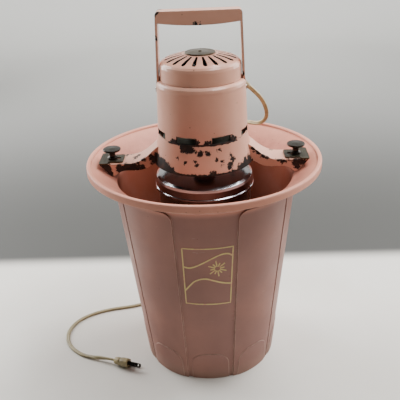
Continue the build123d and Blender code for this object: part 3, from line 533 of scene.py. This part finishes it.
def tub_plastic():
    """Moulded pink plastic with faint mould texture, scuffs, specks and a dusty foot. Painted shade darkens
    its wall below the flange, the inner slope of its flange and its inside; painted shade and grime darken
    its grooves; its edges are paler, a painted highlight with rubbed wear.
    """
    r = Recipe("tub_plastic", specular_ior_level=0.22)
    colour = aged(r, PINK_PLASTIC, PINK_PLASTIC_DULL)
    dull = r.ramp(r.noise(12.0, 4.0), 0.2, 0.7, 0.75, 1.0)
    # painted shade: below the flange the wall turns a darker pink, in broad patches
    wall = r.math("MULTIPLY", r.ramp(r.split()[2], 0.296, 0.284), dull)
    colour = r.mix(wall, colour, linear(WALL_SHADE_PINK))
    # painted shade and grime: darker in the grooves and corners
    colour = r.mix(r.math("MULTIPLY", r.crevice(0.009), 0.95), colour, linear(GRIME_AND_SHADE))
    # painted shade: the inner slope of the flange turns a darker pink, mottled
    mottle = r.ramp(r.noise(38.0, 5.0, 0.65), 0.3, 0.7, 0.45, 1.0)
    throat_shade = r.math("MULTIPLY", r.ramp(r.from_axis(), 0.160, 0.134), mottle)
    throat_shade = r.math("MULTIPLY", throat_shade, r.ramp(r.split()[2], 0.29, 0.296))
    colour = r.mix(throat_shade, colour, linear(THROAT_SHADE_PINK))
    # painted highlight and rubbed wear: sharp edges turn a paler pink, in patches
    rubbed = r.math("MULTIPLY", r.edge(0.0015), r.ramp(r.noise(60.0, 4.0), 0.3, 0.7, 0.2, 0.75))
    colour = r.mix(rubbed, colour, linear(EDGE_HIGHLIGHT_AND_WEAR_PINK))
    low = r.ramp(r.split()[2], 0.03, 0.0, 0.0, 0.35)
    colour = r.mix(r.math("MULTIPLY", low, r.noise(45.0)), colour, linear(DUST))
    scratch = r.ramp(r.noise(30.0, 6.0, 0.7, r.stretched((1, 1, 14))), 0.66, 0.72, 0.0, 0.35)
    colour = r.mix(scratch, colour, linear((236, 200, 186)))
    specks = r.ramp(r.cells(70.0), 0.055, 0.03, 0.0, 0.6)
    colour = r.mix(specks, colour, linear((92, 62, 50)))
    # painted shade: the tub's inside, below its rim, turns a deep red-brown in broad patches
    reach = r.math("MULTIPLY_ADD", r.split()[2], -TUB_FLARE / TUB_WALL_HIGH, r.from_axis())
    inside = r.math("MULTIPLY", r.ramp(reach, 0.0975, 0.0965), r.ramp(r.split()[2], 0.298, 0.282))
    inside_shade = r.math("MULTIPLY", inside, r.ramp(r.noise(18.0, 4.0), 0.2, 0.6, 0.7, 0.95))
    colour = r.mix(inside_shade, colour, linear(TUB_INSIDE_SHADE))
    rough = r.ramp(r.noise(22.0, 4.0), 0.3, 0.75, 0.42, 0.58)
    normal = r.bump(r.noise(420.0, 2.0), 0.00006, 0.5, r.rounded(0.0013))
    normal = r.bump(r.noise(14.0, 2.0), 0.0006, 0.35, normal)
    return r.finish(colour, rough, normal)


def enamel(name, spots=(), edge_loss=0.5, bare=None, primer_and_shade=False, cuts=0.0):
    """Glossy pink enamel with faint orange peel, rubbed through at edges and chipped at the given spots.

    Where asked, its inner and under faces are near-black, as a bare inside that also serves as painted shade,
    and so are the walls of openings within cuts of its axis, as painted shade.
    """
    r = Recipe(name, specular_ior_level=0.28, coat_roughness=0.08, coat_ior=1.5)
    pink = aged(r, PINK_ENAMEL, PINK_ENAMEL_DULL, 7.0)
    specks = r.ramp(r.cells(60.0), 0.06, 0.03, 0.0, 0.75)
    pink = r.mix(specks, pink, linear((96, 66, 54)))
    # painted shade and grime: darker in creases and corners
    pink = r.mix(r.math("MULTIPLY", r.crevice(0.004), 0.6), pink, linear(GRIME_AND_SHADE))
    lost = r.math("MULTIPLY", r.edge(0.0009), r.ramp(r.noise(85.0, 4.0, 0.7), 0.6 - 0.16 * edge_loss, 0.66))
    stray = r.ramp(r.noise(130.0, 5.0, 0.7), 0.735, 0.745)
    lost = r.math("MAXIMUM", lost, stray)
    if spots:
        lost = r.math("MAXIMUM", lost, r.wear(spots, bare(r) if bare else None))
    metal = r.mix(r.ramp(r.noise(160.0, 4.0), 0.45, 0.7), linear((34, 30, 28)), linear((66, 44, 34)))
    rim = r.ramp(lost, 0.0, 0.25)
    colour = r.mix(rim, pink, linear((206, 176, 160)))
    colour = r.mix(r.ramp(lost, 0.2, 0.5), colour, metal)
    if primer_and_shade:
        # near-black inner and under faces (a bare inside and painted shade) and near-black vent walls
        # (painted shade)
        x, y, _ = r.split()
        across, along, up = r.split(r.add("ShaderNodeNewGeometry").outputs["Normal"])
        out = r.math("ADD", r.math("MULTIPLY", x, across), r.math("MULTIPLY", y, along))
        dark_inside = r.math("MAXIMUM", r.ramp(out, -0.008, -0.012), r.ramp(up, -0.6, -0.8))
        cut = r.math("MULTIPLY", r.ramp(up, 0.7, 0.55), r.ramp(r.from_axis(), cuts + 0.0005, cuts))
        dark_inside = r.math("MAXIMUM", dark_inside, cut)
        colour = r.mix(dark_inside, colour, linear((18, 14, 13)))
        lost = r.math("MAXIMUM", lost, dark_inside)
    rough = r.ramp(r.noise(30.0, 3.0), 0.3, 0.7, 0.3, 0.4)
    rough = r.math("ADD", rough, r.math("MULTIPLY", lost, 0.22))
    peel = r.bump(r.noise(260.0, 2.0), 0.00005, 0.45, r.rounded(0.0009))
    normal = r.bump(r.math("MULTIPLY", lost, -1.0), 0.00025, 1.0, peel)
    return r.finish(colour, rough, normal, coat=r.math("MULTIPLY_ADD", lost, -0.28, 0.28))


def spun_metal(name, colour, dull, roughness, metallic=1.0, lines=2600.0, stain=0.35):
    """Metal turned or spun about the tall axis: fine rings, fingerprints and water marks."""
    r = Recipe(name)
    rings = r.rings(lines)
    marks = r.ramp(r.noise(26.0, 5.0, 0.65), 0.45, 0.72, 0.0, stain)
    tint = r.mix(r.ramp(rings, 0.3, 0.7, 0.0, 0.3), linear(colour), linear(dull))
    tint = r.mix(marks, tint, linear(dull))
    # painted shade and grime: near-black in creases and corners
    tint = r.mix(r.math("MULTIPLY", r.crevice(0.003), 0.7), tint, linear((28, 22, 18)))
    rough = r.ramp(r.noise(60.0, 4.0), 0.3, 0.8, roughness * 0.85, roughness * 1.35)
    normal = r.bump(rings, 0.00002, 0.35, r.rounded(0.0004))
    return r.finish(tint, rough, normal, metallic)


def worn_metal(name, colour, dull, roughness, metallic=1.0, grain=(1, 1, 1), depth=0.00006, stain=0.5):
    """Plated, cast or blackened metal with directional grain, dull patches and rubbed edges."""
    r = Recipe(name)
    fine = r.noise(420.0, 4.0, 0.6, r.stretched(grain))
    patches = r.ramp(r.noise(60.0, 5.0, 0.65), 0.42, 0.7, 0.0, stain)
    tint = r.mix(patches, linear(colour), linear(dull))
    tint = r.mix(r.ramp(fine, 0.35, 0.7, 0.0, 0.3), tint, linear(dull))
    bright = tuple(min(255, level * 1.35 + 22) for level in colour)
    tint = r.mix(r.math("MULTIPLY", r.edge(0.0006), 0.6), tint, linear(bright))
    # painted shade and grime: near-black in creases and corners
    tint = r.mix(r.math("MULTIPLY", r.crevice(0.003), 0.7), tint, linear((24, 20, 16)))
    rough = r.ramp(fine, 0.3, 0.75, roughness * 0.8, roughness * 1.3)
    return r.finish(tint, rough, r.bump(fine, depth, 0.5, r.rounded(0.0005)), metallic)


def moulded(name, colour, dull, roughness, edges=0.0006):
    """Moulded rubber or nylon with a fine matt texture, darkened in its corners by painted shade and grime.
    """
    r = Recipe(name, specular_ior_level=0.4)
    tint = aged(r, colour, dull, 60.0)
    # painted shade and grime: darker in corners and creases
    tint = r.mix(r.math("MULTIPLY", r.crevice(0.003), 0.8), tint, linear(DARK_GRIME_AND_SHADE))
    rough = r.ramp(r.noise(200.0, 3.0), 0.3, 0.7, roughness * 0.85, roughness * 1.2)
    return r.finish(tint, rough, r.bump(r.noise(900.0, 2.0), 0.00004, 0.5, r.rounded(edges)))


def cord_vinyl():
    """Ivory vinyl, darker where it lies within about 20 mm of the floor, with patches of dirt and darker
    creases.
    """
    r = Recipe("cord_vinyl", specular_ior_level=0.5)
    # darker towards the floor, lighter higher up
    high = r.ramp(r.split()[2], 0.02, 0.2)
    tint = r.mix(high, linear(CORD_LOW), linear(CORD_HIGH))
    tint = r.mix(r.ramp(r.noise(50.0, 5.0, 0.7), 0.45, 0.75, 0.0, 0.6), tint, linear(CORD_DIRT))
    # painted shade and grime: darker in the cord's creases
    tint = r.mix(r.math("MULTIPLY", r.crevice(0.0025), 0.85), tint, linear(DARK_GRIME_AND_SHADE))
    rough = r.ramp(r.noise(120.0, 3.0), 0.3, 0.7, 0.34, 0.5)
    return r.finish(tint, rough, r.bump(r.noise(700.0, 3.0), 0.00004, 0.5))


def striped(name, colour, dull, pitch, axis, roughness, metallic, depth):
    """Thin sheets or wires side by side, a pitch apart along one axis."""
    r = Recipe(name)
    along = r.math("MULTIPLY", r.split()[axis], 2 * math.pi / pitch)
    waves = r.math("MULTIPLY_ADD", r.math("SINE", along), 0.5, 0.5)
    tint = r.mix(r.ramp(waves, 0.0, 0.5, 0.7, 0.0), linear(colour), linear(dull))
    tint = r.mix(r.ramp(r.noise(90.0, 4.0), 0.45, 0.75, 0.0, 0.5), tint, linear(dull))
    rough = r.ramp(r.noise(160.0, 3.0), 0.3, 0.7, roughness * 0.8, roughness * 1.3)
    return r.finish(tint, rough, r.bump(waves, depth, 0.8, r.rounded(0.0004)), metallic)


def maple_wood():
    """Pale wood with grain along the blade and darker wet ends."""
    r = Recipe("maple_wood", specular_ior_level=0.35)
    grain = r.noise(260.0, 6.0, 0.7, r.stretched((1, 1, 0.05)))
    pores = r.ramp(r.noise(900.0, 3.0, 0.6, r.stretched((1, 1, 0.03))), 0.6, 0.72, 0.0, 0.6)
    tint = r.mix(r.ramp(grain, 0.35, 0.65), linear((205, 170, 122)), linear((170, 128, 84)))
    tint = r.mix(pores, tint, linear((110, 76, 46)))
    ends = r.ramp(r.split()[2], 0.06, 0.02, 0.0, 0.5)
    tint = r.mix(ends, tint, linear((96, 66, 42)))
    return r.finish(tint, r.ramp(grain, 0.3, 0.7, 0.5, 0.68), r.bump(grain, 0.00012, 0.6, r.rounded(0.0006)))


def gilt():
    """Gold print, rubbed thin so that the pink shows through."""
    r = Recipe("gilt_print")
    kept = r.ramp(r.noise(150.0, 5.0, 0.7), 0.34, 0.5, 0.2, 1.0)
    tint = r.mix(kept, linear(PINK_PLASTIC_DULL), linear(GOLD))
    rough = r.ramp(r.noise(300.0, 3.0), 0.3, 0.7, 0.38, 0.55)
    return r.finish(tint, rough, r.bump(r.noise(500.0), 0.00003, 0.5), r.math("MULTIPLY", kept, 0.2))


def studio_floor():
    """Pale matt floor with a barely visible grain; behind the freezer it becomes a backdrop painted with a
    falloff of light, a shaded grey low down and a lit white high up, and in front it is a darker grey.
    """
    r = Recipe("studio_floor", specular_ior_level=0.2)
    _, y, z = r.split()
    tint = r.mix(r.ramp(r.noise(5.0, 4.0), 0.3, 0.7), linear(FLOOR_COLOUR), linear(FLOOR_COLOUR_2))
    # painted light falloff: pale floor, then a backdrop from shaded grey low down to lit white high up
    far = r.math("ADD", y, z)
    backdrop = r.mix(r.ramp(far, 0.35, 3.2), linear(BACKDROP_SHADED), linear(BACKDROP_LIT))
    tint = r.mix(r.ramp(y, 0.22, 0.27), tint, backdrop)
    # the floor in front of the freezer is a darker grey, which dims the light bounced onto its front
    tint = r.mix(r.ramp(y, -0.3, -1.0), tint, linear(STAGE_FRONT))
    return r.finish(tint, 0.7, r.bump(r.noise(160.0, 4.0), 0.0003, 0.2))


# ---- where the paint is lost ----
COLLAR_ROWS = ((318.5, 69.6), (324.0, 68.7), (332.0, 67.2), (342.0, 65.0), (352.0, 63.2), (360.0, 62.0))
COLLAR_CHIPS = (
    (-113, 355.5, 6.5), (-107, 354, 7), (-98, 351, 3.5), (-93, 349, 4), (-84, 349, 3.6), (-54, 336, 4.2),
    (-57, 331, 4.2), (-59, 326.5, 3.6), (-55, 341, 2.6), (-68, 331.5, 2.5), (-67, 336.5, 2.5), (-74, 339, 2),
    (-111, 336, 2.4), (-99, 337.5, 2), (-97, 334, 2.2), (-121, 341, 1.6), (-70, 352, 1.8),
    (-159, 324, 12), (-150, 327, 8), (-144, 325, 10), (-136, 323, 9),
    (-130, 320, 8), (-46, 322, 5), (-40, 321, 7), (-32, 322, 10), (-25, 323, 9), (-79, 320.5, 6),
    (60, 340, 7), (115, 326, 8), (150, 350, 5), (88, 355, 5),
)
ARM_CHIPS = (
    (-117, -19, 313, 7), (-108, -19, 313.5, 7), (-100, -19, 314, 7), (-92, -19, 313, 6), (-85, -19, 312.5, 5),
    (-138, -17, 312, 9), (-133, -17, 307, 7), (-140, 2, 313, 8), (-121, 17, 320, 4), (-115, 13, 320, 3.5),
    (-112, 17, 320, 3), (-98, 5, 321, 4), (-94, 8, 321.5, 4), (-97, 0, 321, 3.5), (-92, -19, 321, 3.5),
    (-84, -19, 325, 3.5), (-73, -19, 331, 3.5), (68.5, -19, 336, 3.5), (75.5, -19, 331, 3.5),
    (79, -19, 329, 3), (83, -19, 326, 4), (88, -19, 323.5, 3.5), (104, -19, 318.5, 3.5),
    (108, -19, 317, 3.5), (112, -19, 317.5, 3), (118, -16, 319, 3), (128, -19, 314.5, 6), (134, -19, 315, 6),
    (139, -17, 314, 6), (131, -19, 308, 5), (140, 10, 314, 6), (95, 19, 318, 4), (-104, 19, 315, 5),
)
HOUSING_CHIPS = (
    (-97, 363, 5), (-127, 362, 5), (-84, 361.5, 4), (-52, 363, 5), (-46, 361.5, 4), (140, 362, 5),
)
HANDLE_CHIPS = (
    (-55, -11, 520, 4.5), (-52, -11, 521, 3), (-4, -11, 503.5, 4), (2, -11, 503.0, 3), (-57, -11, 488, 3),
    (54, -11, 521, 2.5), (55, -11, 440, 3), (-50, 11, 521, 4), (18, 11, 505, 3),
)


def on_collar(degrees, z, radius):
    """A spot on the collar's outside, from its bearing and height."""
    heights, radii = zip(*COLLAR_ROWS)
    out = float(np.interp(z, heights, radii))
    angle = math.radians(degrees)
    return out * math.cos(angle), out * math.sin(angle), z, radius


def frame_enamel():
    """Pink enamel over black, chipped in ragged patches and bare along the collar's edges."""
    spots = [on_collar(*chip) for chip in COLLAR_CHIPS] + list(ARM_CHIPS)
    return enamel("frame_enamel", spots, edge_loss=1.6, bare=collar_edges)


def collar_edges(r):
    """Bare strips along the collar's lower edge and the front of its upper edge."""
    _, y, z = r.split()
    in_collar = r.ramp(r.from_axis(), 0.0725, 0.0705)
    low = r.ramp(z, 0.3238, 0.3190, 0.0, 2.2)
    high = r.ramp(r.math("ABSOLUTE", r.math("SUBTRACT", z, 0.3602)), 0.0045, 0.0010, 0.0, 2.2)
    front = r.ramp(y, -0.036, -0.048)
    edges = r.math("MULTIPLY", in_collar, r.math("MAXIMUM", low, r.math("MULTIPLY", high, front)))
    return r.math("SUBTRACT", edges, 1.1)


def paint(material, *names):
    for name in names:
        slots = NODES[name].data.materials
        slots.clear()
        slots.append(material)


# ---- gilt design on the front of the tub ----
def wall_radius(z):
    return TUB_FOOT_R + TUB_FLARE * z / TUB_WALL_HIGH


def wall_place(degrees, z, proud):
    radius = wall_radius(z) + proud
    angle = math.radians(degrees)
    return (radius * math.cos(angle) * MM, radius * math.sin(angle) * MM, z * MM)


def eased(points, rounds=2):
    """An open line with its corners cut, twice over."""
    points = np.array(points, float)
    for _ in range(rounds):
        near = points[:-1] * 0.75 + points[1:] * 0.25
        far = points[:-1] * 0.25 + points[1:] * 0.75
        middle = np.stack([near, far], axis=1).reshape(-1, 2)
        points = np.vstack([points[:1], middle, points[-1:]])
    return points


def ribbon(line, width):
    """A thin raised strip on the tub's front: rows of four points, from (degrees, z) places."""
    flat = np.array([(math.radians(d) * wall_radius(z), z) for d, z in line])
    steps = []
    for start, end in zip(flat, flat[1:]):
        count = max(2, int(np.linalg.norm(end - start) / 3.0))
        steps += [start + (end - start) * i / count for i in range(count)]
    steps = np.array(steps + [flat[-1]])
    along = unit_rows(np.gradient(steps, axis=0))
    side = np.stack([-along[:, 1], along[:, 0]], axis=1) * width / 2
    rows = []
    for place, offset in zip(steps, side):
        for sign, proud in ((-1.0, -0.3), (-0.85, 0.22), (0.85, 0.22), (1.0, -0.3)):
            s, z = place + offset * sign
            rows.append(wall_place(math.degrees(s / wall_radius(z)), z, proud))
    return rows


def make_gilt_design():
    """A plain frame, two wavy rules and a twelve-pointed star, with no lettering."""
    frame_line = [(-104.6, 239), (-72.6, 239.5), (-73.6, 145), (-105.1, 146), (-104.6, 239)]
    upper = [(-104.7, 209), (-100.2, 207), (-93.7, 214), (-87.3, 222), (-81, 229), (-76, 230), (-72.8, 225)]
    lower = [(-105, 168), (-101.2, 178), (-97.5, 187), (-91, 191), (-85.8, 187), (-79.9, 182), (-73, 178.5)]
    strips = [ribbon(frame_line, 1.7), ribbon(eased(upper), 2.3), ribbon(eased(lower), 2.3)]
    for i in range(12):
        angle = 2 * math.pi * (i + 0.3) / 12
        reach = 13.0 if i % 2 else 9.5
        ray = [(-82.7 + far * math.cos(angle) / 2.07, 206.5 + far * math.sin(angle)) for far in (3.5, reach)]
        strips.append(ribbon(ray, 1.8))
    points, faces = [], []
    for rows in strips:
        start, count = len(points), len(rows) // 4
        points += rows
        faces += [tuple(start + i for i in face) for face in grid_faces(count, 4)]
        faces += [(start + 3, start + 2, start + 1, start), tuple(len(points) - 4 + i for i in range(4))]
    return mesh_piece("gilt_design", points, faces, 50)


gilt_design = make_gilt_design()
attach(gilt_design, "tub")

gilt_design.data.materials.append(gilt())
cord.data.materials.append(cord_vinyl())
relief.data.materials.append(moulded("relief_rubber", (196, 178, 138), (150, 132, 100), 0.5))
plug.data.materials.append(moulded("plug_vinyl", (158, 144, 104), (104, 92, 66), 0.45, 0.0012))
floor.data.materials.append(studio_floor())

paint(tub_plastic(), "tub")
paint(frame_enamel(), "lower_frame")
housing_spots = [on_collar(*chip) for chip in HOUSING_CHIPS]
paint(enamel("housing_enamel", housing_spots, edge_loss=0.8, primer_and_shade=True), "housing_body")
paint(enamel("cap_enamel", edge_loss=0.2, primer_and_shade=True, cuts=0.0464), "housing_cap")
paint(enamel("handle_enamel", HANDLE_CHIPS, edge_loss=1.4), "handle")
paint(spun_metal("lid_steel", (184, 184, 190), (126, 124, 128), 0.17, stain=0.2), "lid")
paint(spun_metal("can_tin", (156, 150, 142), (104, 98, 90), 0.3), "can")
paint(spun_metal("medallion_metal", (104, 92, 74), (64, 54, 42), 0.34), "medallion")
paint(
    worn_metal("latch_black", (66, 60, 44), (38, 33, 25), 0.36, 0.75, (1, 0.1, 1)),
    "latch_plate_left", "latch_plate_right",
)
paint(
    worn_metal("screw_black", (58, 54, 48), (34, 30, 26), 0.32, 0.8),
    "thumb_screw_left", "thumb_screw_right",
)
paint(moulded("bush_nylon", (216, 208, 188), (186, 172, 146), 0.45), "stem_bush")
paint(worn_metal("cast_aluminium", (170, 170, 167), (120, 118, 112), 0.45, depth=0.0002), "dasher_frame")
paint(maple_wood(), "scraper_blades")
paint(
    worn_metal("polished_steel", (184, 182, 178), (128, 124, 118), 0.25),
    "scraper_pins", "handle_rivets", "pivot_pin", "countershaft", "motor_shaft",
)
paint(
    worn_metal("zinc_steel", (168, 168, 158), (128, 126, 110), 0.4, stain=0.7),
    "clamp_nuts", "housing_screws", "housing_lugs", "gear_plate_middle", "gear_plate_upper",
    "plate_spacers", "gearcase_screws", "stator_screws", "stator_spacers", "bearing_bracket", "stem_socket",
)
paint(
    worn_metal("bronze", (166, 122, 72), (104, 74, 44), 0.4),
    "output_bearing", "countershaft_bushes", "shaft_bearings",
)
paint(
    worn_metal("gear_steel", (126, 124, 120), (72, 64, 54), 0.34),
    "output_hub", "output_gear", "counter_gear", "counter_pinion", "motor_pinion",
)
paint(
    striped("laminations", (112, 108, 104), (48, 44, 42), 0.0011, 2, 0.45, 0.9, 0.00008),
    "stator_core", "rotor_core",
)
paint(striped("copper_windings", (170, 96, 52), (92, 44, 26), 0.0009, 1, 0.35, 0.9, 0.0002), "stator_coils")
paint(worn_metal("fan_aluminium", (176, 176, 174), (134, 132, 128), 0.4), "cooling_fan")
paint(worn_metal("blade_black", (40, 36, 30), (18, 16, 14), 0.34, 0.9), "plug_blades")
